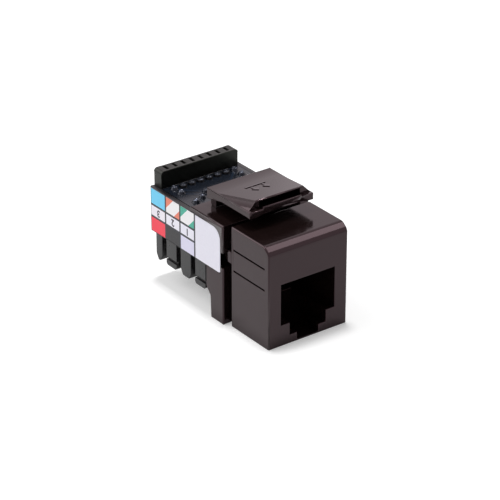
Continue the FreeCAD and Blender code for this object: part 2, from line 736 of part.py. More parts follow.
def board_seat(body, s):
    seat = new_sketch(body, "board_seat_sketch", "top", s.board_top)
    half = s.collar_width / 2 - s.rim_width
    rectangle(seat, -half, s.collar_rear, half, s.board_rear + s.fit_gap)
    extrude(body, "Pocket", seat, s.board_thickness)
    channel = new_sketch(body, "wire_channel_sketch", "top", s.board_bottom)
    clear = s.wire_diameter / 2 + s.channel_gap
    half = spread(s.wire_count - 1, s.wire_count, s.pin_pitch) + clear
    rectangle(channel, -half, s.collar_rear, half, s.tail_rows[1] + s.channel_end)
    extrude(body, "Pocket", channel, s.board_bottom - s.wire_run + clear)


def leg_spans(s):
    """Front and rear edge of each leg from the back to the front, with whether it is pointed."""
    half = s.wire_slot / 2
    first, second, third = s.columns
    return [
        (first + half, s.overall_depth, True),
        (second + half, first - half, False),
        (third + half, second - half, True),
        (third + half - s.column_pitch, third - half, False),
    ]


def block_legs(body, s):
    sketch = new_sketch(body, "legs_sketch", "side", s.leg_inner)
    for front, rear, pointed in leg_spans(s):
        run = s.leg_tip_run if pointed else s.leg_blunt
        rise = s.leg_tip_rise if pointed else s.leg_blunt
        outline(sketch, [
            (front, s.block_floor), (front, s.leg_bottom + rise), (front + run, s.leg_bottom),
            (rear - run, s.leg_bottom), (rear, s.leg_bottom + rise), (rear, s.block_floor),
        ])
    legs = extrude(body, "Pad", sketch, s.leg_outer - s.leg_inner)
    notches = new_sketch(body, "lip_notch_sketch", "side", s.leg_outer)
    low = s.leg_bottom + s.lip_notch_low
    for front, rear, pointed in leg_spans(s):
        if not pointed:
            rectangle(notches, front, low, rear, low + s.lip_notch_height)
    lip_notch = extrude(body, "Pocket", notches, s.lip_notch_depth)
    mirror(body, "other_legs", [legs, lip_notch])


def clip_pockets(body, s):
    """Slots from the top for the clips, which open into the gaps between the legs."""
    sketch = new_sketch(body, "clip_pocket_sketch", "top", s.board_top)
    across = s.clip_thickness / 2 + s.pin_gap
    along = s.clip_width / 2 + s.pin_gap
    for column in s.columns:
        rectangle(sketch, s.clip_plane - across, column - along, s.clip_plane + across, column + along)
    pocket = extrude(body, "Pocket", sketch, s.board_top - s.clip_bottom + s.pin_gap)
    mirror(body, "other_clip_pockets", [pocket])


def block_hooks(body, s):
    sketch = new_sketch(body, "hook_sketch", "front", s.collar_rear)
    middle = hook_middle(s)
    half = s.hook_thickness / 2
    rectangle(sketch, middle - half, s.hook_low, middle + half, s.hook_low + s.hook_height)
    hook = extrude(body, "Pad", sketch, s.hook_reach)
    mirror(body, "other_hook", [hook])


def staked_pegs(body, s):
    """A row of pegs through the board, their heads spread over it."""
    first = spread(0, s.peg_count, s.pin_pitch)
    shank = new_sketch(body, "peg_sketch", "top", s.board_bottom)
    circle(shank, first, s.pin_row, s.peg_diameter / 2)
    peg = extrude(body, "Pad", shank, s.board_thickness)
    cap = new_sketch(body, "peg_head_sketch", "top", s.board_top)
    circle(cap, first, s.pin_row, s.peg_diameter / 2 + s.peg_lip)
    head = extrude(body, "Pad", cap, s.peg_head_height)
    hollow = new_sketch(body, "peg_dimple_sketch", "top", s.board_top + s.peg_head_height)
    circle(hollow, first, s.pin_row, s.peg_dimple / 2)
    dimple = extrude(body, "Pocket", hollow, s.peg_dimple_depth)
    row_across(body, "peg_row", [peg, head, dimple], s.pin_pitch, s.peg_count)


def bar_sockets(body, s):
    sketch = new_sketch(body, "bar_socket_sketch", "top", s.board_top)
    for side in (-1, 1):
        circle(sketch, s.bar_peg_place * side, s.bar_front + s.bar_depth / 2,
               s.peg_diameter / 2 + s.pin_gap)
    extrude(body, "Pocket", sketch, s.bar_peg_length + s.pin_gap)


def rear_bar(doc, s):
    """The upright bar behind the board, with slots across its top and two pegs below."""
    body = new_body(doc, "rear_bar", s)
    top = s.board_top + s.bar_height
    bar = pad_back(body, "bar", s.bar_front, s.bar_depth, s.bar_width / 2, s.board_top, top)
    half = s.bar_width / 2

    def top_corner(middle, along):
        return near(middle.z, top) and near(abs(middle.x), half) and abs(along.y) > 1 - SAME

    soften(body, "Fillet", "bar_corners", bar, "Radius", s.bar_corner, top_corner)
    slot = new_sketch(body, "bar_slot_sketch", "top", top)
    first = spread(0, s.bar_slot_count, s.pin_pitch)
    half_slot = s.bar_slot_width / 2
    slot_rear = s.overall_depth - s.bar_slot_end
    rectangle(slot, first - half_slot, s.bar_front + s.bar_slot_end, first + half_slot, slot_rear)
    bar_slot = extrude(body, "Pocket", slot, s.bar_slot_depth)
    row_across(body, "bar_slots", [bar_slot], s.pin_pitch, s.bar_slot_count)
    pegs = new_sketch(body, "bar_pegs_sketch", "top", s.board_top)
    for side in (-1, 1):
        circle(pegs, s.bar_peg_place * side, s.bar_front + s.bar_depth / 2, s.peg_diameter / 2)
    extrude(body, "Pad", pegs, s.bar_peg_length, reverse=True)
    return body


# Board, clips, wires and solder


def tail_places(s):
    """Where each contact wire comes up through the board: two staggered rows."""
    count = int(s.wire_count.value)
    return [(spread(number, s.wire_count, s.pin_pitch), s.tail_rows[number % 2]) for number in range(count)]


def clip_tail_places(s):
    return [(s.clip_plane * side, column_tail(s, number)) for number in range(3) for side in (-1, 1)]


def circuit_board(doc, s):
    body = new_body(doc, "circuit_board", s)
    sheet = new_sketch(body, "board_sketch", "top", s.board_bottom)
    half = s.collar_width / 2 - s.rim_width - s.fit_gap
    rectangle(sheet, -half, s.board_front, half, s.board_rear)
    extrude(body, "Pad", sheet, s.board_thickness)
    holes = new_sketch(body, "board_holes_sketch", "top", s.board_top)
    for across, along in tail_places(s):
        circle(holes, across, along, s.wire_diameter / 2 + s.hole_gap)
    for across, along in clip_tail_places(s):
        circle(holes, across, along, s.clip_tail / 2 + s.hole_gap * 1.5)
    for number in range(int(s.peg_count.value)):
        circle(holes, spread(number, s.peg_count, s.pin_pitch), s.pin_row,
               s.peg_diameter / 2 + s.pin_gap)
    extrude(body, "Pocket", holes, s.board_thickness)
    return body


def idc_clip(doc, s, name, side, number):
    """A slotted metal fork between two legs, with a tail up through the board."""
    body = new_body(doc, name, s)
    middle, tail = s.columns[number], column_tail(s, number)
    half, slit, mouth = s.clip_width / 2, s.clip_slit / 2, s.clip_mouth / 2
    half_tail = s.clip_tail / 2
    mouth_top = s.clip_bottom + s.clip_mouth_rise
    slit_top = s.clip_bottom + s.clip_slit_length
    chamfer = (half - mouth) / 3
    corners = [
        (middle - half, s.clip_bottom + chamfer), (middle - half + chamfer, s.clip_bottom),
        (middle - mouth, s.clip_bottom), (middle - slit, mouth_top), (middle - slit, slit_top),
        (middle + slit, slit_top), (middle + slit, mouth_top), (middle + mouth, s.clip_bottom),
        (middle + half - chamfer, s.clip_bottom), (middle + half, s.clip_bottom + chamfer),
        (middle + half, s.clip_top), (tail + half_tail, s.clip_top), (tail + half_tail, s.tail_top),
        (tail - half_tail, s.tail_top), (tail - half_tail, s.clip_top), (middle - half, s.clip_top),
    ]
    sketch = new_sketch(body, f"{name}_outline_sketch", "side", s.clip_plane * side)
    outline(sketch, corners)
    extrude(body, "Pad", sketch, s.clip_thickness, both_ways=True)
    return body


def contact_carrier(doc, s):
    """Comb over the plug cavity: the wires lie in its top and their springs swing in its underside."""
    body = new_body(doc, "contact_carrier", s)
    top = s.carrier_top
    length = s.carrier_rear - s.carrier_front
    pad_back(body, "comb", s.carrier_front, length, s.carrier_width / 2, s.plug_top, top)
    first = spread(0, s.wire_count, s.wire_pitch)
    groove = new_sketch(body, "wire_groove_sketch", "front", s.carrier_front)
    half = s.wire_diameter / 2 + s.fit_gap
    rectangle(groove, first - half, s.wire_run - s.wire_diameter / 2 - s.pin_gap, first + half, top)
    wire_groove = extrude(body, "Pocket", groove, length)
    slot = new_sketch(body, "spring_slot_sketch", "front", s.carrier_front)
    half = s.wire_diameter / 2 + s.comb_gap
    rectangle(slot, first - half, s.plug_top, first + half, s.plug_top + s.comb_depth)
    spring_slot = extrude(body, "Pocket", slot, length)
    row_across(body, "comb_row", [wire_groove, spring_slot], s.wire_pitch, s.wire_count)
    return body


def bend_arc(before, corner, after, radius):
    """The arc of a given radius that rounds a corner, with its two ends."""
    back = (before - corner).normalize()
    ahead = (after - corner).normalize()
    half_angle = back.getAngle(ahead) / 2
    reach = radius / math.tan(half_angle)
    start, end = corner + back * reach, corner + ahead * reach
    inward = (back + ahead).normalize()
    middle = corner + inward * (radius / math.sin(half_angle) - radius)
    return start, Part.Arc(start, middle, end).toShape(), end


def bent_rod(points, radius, diameter):
    """A round rod that follows straight runs joined by tangent arcs."""
    edges, start = [], points[0]
    for before, corner, after in zip(points, points[1:], points[2:]):
        arc_start, arc, arc_end = bend_arc(before, corner, after, radius)
        edges += [Part.makeLine(start, arc_start), arc]
        start = arc_end
    edges.append(Part.makeLine(start, points[-1]))
    section = Part.Wire([Part.makeCircle(diameter / 2, points[0], points[1] - points[0])])
    return Part.Wire(edges).makePipeShell([section], True, False)


def contact_wire(doc, s, name, number):
    """A spring wire from its tail on the board, over the cavity and back down into it."""
    across, tail_row = tail_places(s)[number]
    inside = spread(number, s.wire_count, s.wire_pitch).value
    outside, run = across.value, s.wire_run.value
    nose = (s.carrier_front - s.nose_lead).value
    points = [
        Vector(outside, tail_row.value, s.tail_top.value),
        Vector(outside, tail_row.value, run),
        Vector(outside, (s.board_front + s.fan_end).value, run),
        Vector(inside, (s.carrier_rear + s.fan_start).value, run),
        Vector(inside, nose, run),
        Vector(inside, nose, (s.plug_top + s.nose_rise).value),
        Vector(inside, (s.carrier_rear - s.tip_inset).value, (s.plug_top - s.tip_drop).value),
    ]
    return plain_feature(doc, s, name, bent_rod(points, s.wire_bend.value, s.wire_diameter.value))


def solder_joints(doc, s):
    """A small cone of solder round each tail, all in one node."""
    joints = []
    base, height, foot_ring, lip = (
        size.value for size in (s.board_top, s.solder_height, s.solder_foot, s.solder_lip)
    )
    holes = [(place, s.wire_diameter / 2 + s.pin_gap) for place in tail_places(s)]
    holes += [(place, s.clip_tail / 2 * math.sqrt(2)) for place in clip_tail_places(s)]
    for (across, along), hole in holes:
        foot, pin = Vector(across.value, along.value, base), hole.value
        cone = Part.makeCone(pin + foot_ring, pin + lip, height, foot)
        joints.append(cone.cut(Part.makeCylinder(pin, height, foot)))
    return plain_feature(doc, s, "solder_joints", Part.makeCompound(joints))


def plain_feature(doc, s, name, shape):
    feature = doc.addObject("Part::Feature", name)
    feature.Label = name
    feature.Shape = shape
    feature.Placement = Placement(Vector(0, -s.overall_depth.value / 2, 0), feature.Placement.Rotation)
    bind(feature, "Placement.Base.y", -s.overall_depth / 2)
    return feature


def side_label(doc, s):
    body = new_body(doc, "side_label", s)
    sketch = new_sketch(body, "label_sketch", "side", -s.collar_width / 2)
    label_outline(sketch, s, as_size(0))
    label = extrude(body, "Pad", sketch, s.label_thickness)

    def lower_corner(middle, along):
        return near(middle.y, s.label_front) and near(middle.z, s.label_bottom)

    soften(body, "Fillet", "lower_corner", label, "Radius", s.label_small_corner, lower_corner)
    return body


# The whole jack


def build_pieces(doc, s):
    pieces = [
        front_housing(doc, s), rear_collar(doc, s), snap_latch(doc, s), idc_block(doc, s),
        rear_bar(doc, s), circuit_board(doc, s), contact_carrier(doc, s), side_label(doc, s),
        solder_joints(doc, s),
    ]
    for number in range(int(s.wire_count.value)):
        pieces.append(contact_wire(doc, s, f"contact_wire_{number + 1}", number))
    for number in range(3):
        pieces.append(idc_clip(doc, s, f"idc_clip_left_{number + 1}", -1, number))
        pieces.append(idc_clip(doc, s, f"idc_clip_right_{number + 1}", 1, number))
    return pieces


def check(doc, pieces):
    for item in doc.Objects:
        if "Invalid" in item.State or "Error" in item.State:
            raise RuntimeError(f"{item.Name} failed: {item.State}")
    for piece in pieces:
        if piece.Shape.isNull() or not piece.Shape.isValid() or not piece.Shape.Solids:
            raise RuntimeError(f"{piece.Label} has no valid solid")


def main():
    doc = new_document()
    s = add_places(read_sizes())
    pieces = build_pieces(doc, s)
    doc.recompute()
    check(doc, pieces)
    os.makedirs("parts", exist_ok=True)
    for piece in pieces:
        piece.Shape.exportStep(os.path.join("parts", f"{piece.Label}.step"))
        print(f"{piece.Label}: {len(piece.Shape.Solids)} solid, {piece.Shape.Volume:.3f} mm3")


main()
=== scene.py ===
from math import cos, pi, radians, sin

import bmesh
import bpy
from mathutils import Matrix, Vector
from mathutils.bvhtree import BVHTree


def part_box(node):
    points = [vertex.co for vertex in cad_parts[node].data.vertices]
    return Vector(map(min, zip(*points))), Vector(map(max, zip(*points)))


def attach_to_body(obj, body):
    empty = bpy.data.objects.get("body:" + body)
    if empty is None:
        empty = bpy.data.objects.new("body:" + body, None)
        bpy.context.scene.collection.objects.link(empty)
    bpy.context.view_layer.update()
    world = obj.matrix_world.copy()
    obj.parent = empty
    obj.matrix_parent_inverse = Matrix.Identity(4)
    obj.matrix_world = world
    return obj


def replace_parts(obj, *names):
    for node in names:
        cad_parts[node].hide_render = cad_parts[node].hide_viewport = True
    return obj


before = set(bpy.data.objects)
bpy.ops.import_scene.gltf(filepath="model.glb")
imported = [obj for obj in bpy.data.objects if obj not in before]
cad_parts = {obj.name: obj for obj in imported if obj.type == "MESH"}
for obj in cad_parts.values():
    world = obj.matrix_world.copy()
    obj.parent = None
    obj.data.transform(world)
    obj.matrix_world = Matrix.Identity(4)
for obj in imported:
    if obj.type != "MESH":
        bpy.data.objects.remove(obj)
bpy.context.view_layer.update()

# The looks of a keystone jack: brown housing and latch, black wire block with its board and label.
# X runs across the jack, Y from its plug opening to the back, Z up. Lengths are metres, and patterns
# in the materials are in millimetres.

MM = 0.001
WIRES = [f"contact_wire_{number}" for number in range(1, 7)]
CLIPS = [f"idc_clip_{side}_{number}" for side in ("left", "right") for number in (1, 2, 3)]


def low(node):
    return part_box(node)[0]


def high(node):
    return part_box(node)[1]


# Nodes


def linear(code):
    """A hex sRGB colour as linear red, green, blue and alpha."""
    parts = [int(code[place:place + 2], 16) / 255 for place in (1, 3, 5)]
    parts = [part / 12.92 if part <= 0.04045 else ((part + 0.055) / 1.055) ** 2.4 for part in parts]
    return (*parts, 1.0)


def find_socket(sockets, key=None):
    """One of a node's sockets that are in use: by its name, by its number, or the first."""
    if isinstance(key, int):
        return sockets[key]
    return next(socket for socket in sockets if socket.enabled and key in (None, socket.name))


def add(tree, kind, inputs=None, **settings):
    """Adds a node. An input takes a plain value, an output, or a node, whose first output is linked."""
    made = tree.nodes.new(kind)
    for name, value in settings.items():
        setattr(made, name, value)
    for key, value in (inputs or {}).items():
        if isinstance(value, bpy.types.Node):
            value = find_socket(value.outputs)
        socket = find_socket(made.inputs, key)
        if isinstance(value, bpy.types.NodeSocket):
            tree.links.new(value, socket)
        else:
            socket.default_value = value
    return made


def new_material(name):
    """An empty material, its tree, and the place on the piece in millimetres."""
    material = bpy.data.materials.new(name)
    material.use_nodes = True
    tree = material.node_tree
    tree.nodes.clear()
    metres = add(tree, "ShaderNodeTexCoord").outputs["Object"]
    place = add(tree, "ShaderNodeVectorMath", {0: metres, 1: (1 / MM,) * 3}, operation="MULTIPLY")
    return material, tree, place


def finish(material, surface):
    """Gives the material its shader. Uniform values stay on the shader's own sockets."""
    tree = material.node_tree
    add(tree, "ShaderNodeOutputMaterial", {"Surface": add(tree, "ShaderNodeBsdfPrincipled", surface)})
    return material


def drifting_colour(tree, place, size, dark, light):
    """A colour that drifts between two others over patches of a size in millimetres."""
    patches = add(tree, "ShaderNodeTexNoise", {"Vector": place, "Scale": 1 / size})
    return add(tree, "ShaderNodeMix", {"Factor": patches, "A": linear(dark), "B": linear(light)},
               data_type="RGBA")


def grain(tree, place, size, roughness, depth):
    """Lumps of a size and depth in millimetres, with a range of roughness that follows them."""
    smooth, dull = roughness
    lumps = add(tree, "ShaderNodeTexNoise", {"Vector": place, "Scale": 1 / size, "Detail": 3.0})
    dulled = {"Value": lumps, "From Min": 0.3, "From Max": 0.7, "To Min": smooth, "To Max": dull}
    return {
        "Roughness": add(tree, "ShaderNodeMapRange", dulled),
        "Normal": add(tree, "ShaderNodeBump", {"Height": lumps, "Distance": depth * MM, "Strength": 1.0}),
    }


# Materials


def moulded_abs():
    """Dark brown ABS from a spark-eroded mould: a fine dull grain over an even satin gloss.

    The real grain is about 0.05 mm, and it is drawn at 0.22 mm so that it shows.
    """
    material, tree, place = new_material("brown_moulded_abs")
    return finish(material, {
        "Base Color": drifting_colour(tree, place, 3.0, "#130c0b", "#191010"),
        "IOR": 1.48,
        "Specular Tint": linear("#f6d2dc"),
        **grain(tree, place, 0.22, (0.10, 0.15), 0.003),
    })


def moulded_pbt():
    """Black glass-filled PBT: near black, with short fibres that show as faint streaks along the jack."""
    material, tree, place = new_material("black_moulded_pbt")
    along = add(tree, "ShaderNodeVectorMath", {0: place, 1: (1.0, 0.35, 1.0)}, operation="MULTIPLY")
    return finish(material, {
        "Base Color": drifting_colour(tree, along, 0.25, "#09080b", "#121114"),
        "IOR": 1.5,
        **grain(tree, along, 0.25, (0.26, 0.36), 0.006),
    })


def moulded_nylon():
    """Black nylon of the rear bar: duller than the block, with a faint olive cast."""
    material, tree, place = new_material("black_moulded_nylon")
    return finish(material, {
        "Base Color": drifting_colour(tree, place, 0.4, "#050605", "#0a0b09"),
        "IOR": 1.53,
        "Specular Tint": linear("#a8ada2"),
        **grain(tree, place, 0.4, (0.3, 0.42), 0.006),
    })


def solder_mask():
    """FR4 laminate under a dark glossy solder mask, faintly woven: glass cloth has a thread each 0.5 mm."""
    material, tree, place = new_material("solder_mask_on_fr4")
    axes = add(tree, "ShaderNodeSeparateXYZ", {0: place})
    thread_pitch = 0.5
    threads = []
    for axis in (axes.outputs["X"], axes.outputs["Y"]):
        turns = add(tree, "ShaderNodeMath", {0: axis, 1: 2 * pi / thread_pitch}, operation="MULTIPLY")
        threads.append(add(tree, "ShaderNodeMath", {0: turns}, operation="SINE"))
    weave = add(tree, "ShaderNodeMath", {0: threads[0], 1: threads[1]}, operation="MULTIPLY")
    return finish(material, {
        "Base Color": drifting_colour(tree, place, 1.5, "#0b0f16", "#121924"),
        "Roughness": 0.22,
        "IOR": 1.5,
        "Normal": add(tree, "ShaderNodeBump", {"Height": weave, "Distance": 0.002 * MM, "Strength": 1.0}),
    })


def masked_copper():
    """Copper track under the same mask: a little higher and lighter than the bare laminate."""
    material, tree, place = new_material("masked_copper")
    return finish(material, {
        "Base Color": drifting_colour(tree, place, 0.8, "#141c28", "#1c2635"),
        "IOR": 1.5,
        **grain(tree, place, 0.3, (0.18, 0.22), 0.004),
    })


def lacquered_solder():
    """Solder under black lacquer. The lacquer thins on each bead's rim, and the solder glints through.

    It is thin in patches of 0.35 mm, and only between 0.3 and 0.5 mm above the board or higher.
    """
    material, tree, place = new_material("black_lacquer_on_solder")
    height = add(tree, "ShaderNodeSeparateXYZ", {0: place}).outputs["Z"]
    board = high("circuit_board").z / MM
    rim = add(tree, "ShaderNodeMapRange", {"Value": height, "From Min": board + 0.3, "From Max": board + 0.5})
    pools = add(tree, "ShaderNodeTexNoise", {"Vector": place, "Scale": 1 / 0.35})
    thinned = {"Value": pools, "From Min": 0.3, "From Max": 0.7, "To Min": -0.6, "To Max": 1.4}
    thin = add(tree, "ShaderNodeMapRange", thinned, clamp=False)
    glint = add(tree, "ShaderNodeMath", {0: rim, 1: thin}, operation="MULTIPLY", use_clamp=True)
    lacquer = drifting_colour(tree, place, 0.3, "#0c0e14", "#171a22")
    return finish(material, {
        "Base Color": add(tree, "ShaderNodeMix", {"Factor": glint, "A": lacquer, "B": linear("#5d616c")},
                          data_type="RGBA"),
        "Metallic": glint,
        "IOR": 1.52,
        "Specular Tint": linear("#a9adb8"),
        **grain(tree, place, 0.3, (0.1, 0.2), 0.03),
    })


def gold_plating():
    """Phosphor bronze spring wire with a thin gold plating and fine marks from drawing."""
    material, tree, place = new_material("gold_plated_bronze")
    return finish(material, {
        "Base Color": drifting_colour(tree, place, 0.15, "#c99a4e", "#e3bd74"),
        "Metallic": 1.0,
        **grain(tree, place, 0.15, (0.18, 0.3), 0.002),
    })


def tinned_bronze():
    """Stamped phosphor bronze with a matt tin plating."""
    material, tree, place = new_material("tinned_bronze")
    return finish(material, {
        "Base Color": drifting_colour(tree, place, 0.3, "#9c9a96", "#b9b7b2"),
        "Metallic": 1.0,
        **grain(tree, place, 0.3, (0.3, 0.45), 0.003),
    })


def printing_ink():
    """Dark grey screen ink of the label's figures, dull and slightly uneven."""
    material, tree, place = new_material("printing_ink")
    return finish(material, {
        "Base Color": drifting_colour(tree, place, 0.3, "#2b2633", "#3a3442"),
        **grain(tree, place, 0.15, (0.45, 0.55), 0.002),
    })


# The label's print, in millimetres from its rear top corner: columns run forwards and rows run down.

COLUMN = 3.8
COLUMN_COUNT = 3
ROWS = (0.0, 2.66, 4.64, 7.2)
SEPARATOR = 0.34
FIELDS = (
    (0, 0, "#6fd3fa"), (0, 1, "#f3eef8"), (0, 2, "#f9364d"),
    (1, 1, "#f1eef9"), (1, 2, "#19171b"),
    (2, 1, "#efedf9"), (2, 2, "#dfdcf2"),
)
STRIPED = ((1, "#ec8168"), (2, "#3fae96"))
STRIPE = (2.0, 4.7)


def between(tree, value, start, end):
    """1 where a value lies between two others."""
    above = add(tree, "ShaderNodeMath", {0: value, 1: start}, operation="GREATER_THAN")
    below = add(tree, "ShaderNodeMath", {0: value, 1: end}, operation="LESS_THAN")
    return add(tree, "ShaderNodeMath", {0: above, 1: below}, operation="MULTIPLY")


def field(tree, along, down, column, row):
    """1 inside one field of the label."""
    across = between(tree, along, COLUMN * column, COLUMN * (column + 1))
    level = between(tree, down, ROWS[row], ROWS[row + 1])
    return add(tree, "ShaderNodeMath", {0: across, 1: level}, operation="MULTIPLY")


def stripe(tree, along, down, column):
    """1 on the white stripe that crosses a field at 45 degrees and rises towards the front."""
    slant = add(tree, "ShaderNodeMath", {0: along, 1: down}, operation="ADD")
    return between(tree, slant, COLUMN * column + STRIPE[0], COLUMN * column + STRIPE[1])


def separators(tree, along, down):
    """A mask for each of the dark lines between the fields."""
    half = SEPARATOR / 2
    columns = [COLUMN * number for number in range(1, COLUMN_COUNT + 1)]
    lines = [between(tree, along, edge - half, edge + half) for edge in columns]
    printed = between(tree, along, 0.0, columns[-1])
    for edge in ROWS[1:-1]:
        level = between(tree, down, edge - half, edge + half)
        lines.append(add(tree, "ShaderNodeMath", {0: level, 1: printed}, operation="MULTIPLY"))
    return lines


def printed_film():
    """White polyester film with screen-printed colour fields: smooth, thin and slightly glossy."""
    material, tree, place = new_material("printed_film")
    axes = add(tree, "ShaderNodeSeparateXYZ", {0: place})
    rear, top = high("side_label").y / MM, high("side_label").z / MM
    along = add(tree, "ShaderNodeMath", {0: rear, 1: axes.outputs["Y"]}, operation="SUBTRACT")
    down = add(tree, "ShaderNodeMath", {0: top, 1: axes.outputs["Z"]}, operation="SUBTRACT")
    layers = [(field(tree, along, down, column, row), linear(code)) for column, row, code in FIELDS]
    for column, code in STRIPED:
        inks = {"Factor": stripe(tree, along, down, column), "A": linear(code), "B": linear("#f6f4f6")}
        crossed = add(tree, "ShaderNodeMix", inks, data_type="RGBA")
        layers.append((field(tree, along, down, column, 0), crossed))
    layers += [(line, linear("#1b1d28")) for line in separators(tree, along, down)]
    print_colour = drifting_colour(tree, place, 0.4, "#e6e4f0", "#eeecf8")
    for mask, ink in layers:
        print_colour = add(tree, "ShaderNodeMix", {"Factor": mask, "A": print_colour, "B": ink},
                           data_type="RGBA")
    return finish(material, {
        "Base Color": print_colour,
        "IOR": 1.46,
        **grain(tree, place, 0.4, (0.36, 0.44), 0.002),
    })


# Shapes. Triangles within FLAT_ANGLE of each other are one face, and faces that turn by more than
# EDGE_ANGLE meet in an edge. An outer edge is softened if it is longer than LONG_EDGE and its faces go
# on for ROOM times the width of its bevel. The room is tested at a few shares of its length.

MERGE = 0.0001 * MM
FLAT_ANGLE, EDGE_ANGLE = radians(0.5), radians(32)
QUAD_ANGLE = radians(60)
LONG_EDGE = 0.8 * MM
ROOM = 3
ROOM_SHARES = (0.03, 0.25, 0.5, 0.75, 0.97)
ON_SURFACE = 0.01 * MM


def new_piece(name, mesh, material, body="jack"):
    """An object at the origin, with its place in its mesh."""
    piece = bpy.data.objects.new(name, mesh)
    bpy.context.scene.collection.objects.link(piece)
    mesh.materials.clear()
    mesh.materials.append(material)
    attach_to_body(piece, body)
    return piece


def plain_mesh(source, name, prepare=None):
    """What a mesh or curve becomes once its modifiers are applied, as plain data."""
    holder = bpy.data.objects.new(name, source)
    bpy.context.scene.collection.objects.link(holder)
    if prepare:
        prepare(holder)
    bpy.context.view_layer.update()
    graph = bpy.context.evaluated_depsgraph_get()
    mesh = bpy.data.meshes.new_from_object(holder.evaluated_get(graph))
    mesh.name = name
    bpy.data.objects.remove(holder)
    return mesh


def mesh_from(shape, name):
    mesh = bpy.data.meshes.new(name)
    shape.to_mesh(mesh)
    shape.free()
    return mesh


def whole_shape(node):
    """A copy of a CAD node's mesh with its loose triangles joined into faces."""
    shape = bmesh.new()
    shape.from_mesh(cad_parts[node].data)
    bmesh.ops.remove_doubles(shape, verts=shape.verts, dist=MERGE)
    bmesh.ops.join_triangles(shape, faces=shape.faces, angle_face_threshold=FLAT_ANGLE,
                             angle_shape_threshold=QUAD_ANGLE)
    return shape


def smooth_mesh(shape, name):
    """The shape's mesh, smooth apart from its edges."""
    mesh = mesh_from(shape, name)
    mesh.shade_smooth()
    mesh.set_sharp_from_angle(angle=EDGE_ANGLE)
    return mesh


def has_room(edge, surface, reach):
    """Whether the faces at both sides of an edge go on for a distance, all along it."""
    for loop in edge.link_loops:
        start, end = loop.vert.co, loop.link_loop_next.vert.co
        inward = loop.face.normal.cross(end - start).normalized() * reach
        for share in ROOM_SHARES:
            if surface.find_nearest(start.lerp(end, share) + inward)[3] > ON_SURFACE:
                return False
    return True


def soft_edged(node, width, material, body="jack"):
    """A CAD piece with the small radius that a mould leaves on its outer edges."""
    shape = whole_shape(node)
    surface = BVHTree.FromBMesh(shape)
    edges = [edge for edge in shape.edges if edge.calc_face_angle_signed() > EDGE_ANGLE
             and edge.calc_length() > LONG_EDGE and has_room(edge, surface, ROOM * width)]
    bmesh.ops.bevel(shape, geom=edges, offset=width, offset_type="OFFSET", segments=2, profile=0.5,
                    affect="EDGES")

    def weight_normals(holder):
        weighted = holder.modifiers.new("normals", "WEIGHTED_NORMAL")
        weighted.weight = 100
        weighted.keep_sharp = True

    mesh = plain_mesh(smooth_mesh(shape, node), f"{node}_shell", weight_normals)
    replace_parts(new_piece(mesh.name, mesh, material, body), node)


def smooth_copy(node, material):
    """A CAD piece whose round faces shade smoothly."""
    mesh = smooth_mesh(whole_shape(node), f"{node}_metal")
    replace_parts(new_piece(mesh.name, mesh, material, "jack"), node)


# Geometry Nodes


def new_tree(name, sockets):
    """A geometry tree with named inputs. Returns the tree, its inputs' outputs and its output node."""
    tree = bpy.data.node_groups.new(name, "GeometryNodeTree")
    tree.interface.new_socket("Geometry", in_out="INPUT", socket_type="NodeSocketGeometry")
    for title, kind, default in sockets:
        tree.interface.new_socket(title, in_out="INPUT", socket_type=kind).default_value = default
    tree.interface.new_socket("Geometry", in_out="OUTPUT", socket_type="NodeSocketGeometry")
    return tree, add(tree, "NodeGroupInput").outputs, add(tree, "NodeGroupOutput")


def close_tree(tree, ending, geometry, material):
    """Makes instances real, gives them their material and sends them out."""
    real = add(tree, "GeometryNodeRealizeInstances", {"Geometry": geometry})
    named = add(tree, "GeometryNodeSetMaterial", {"Geometry": real, "Material": material})
    tree.links.new(named.outputs[0], ending.inputs[0])


def run_tree(tree, source, name, **values):
    """The mesh that a geometry tree makes, with its inputs set by their titles."""
    def attach(holder):
        modifier = holder.modifiers.new("shape", "NODES")
        modifier.node_group = tree
        for item in tree.interface.items_tree:
            if item.in_out == "INPUT" and item.name in values:
                modifier[item.identifier] = values[item.name]

    return plain_mesh(source, name, attach)


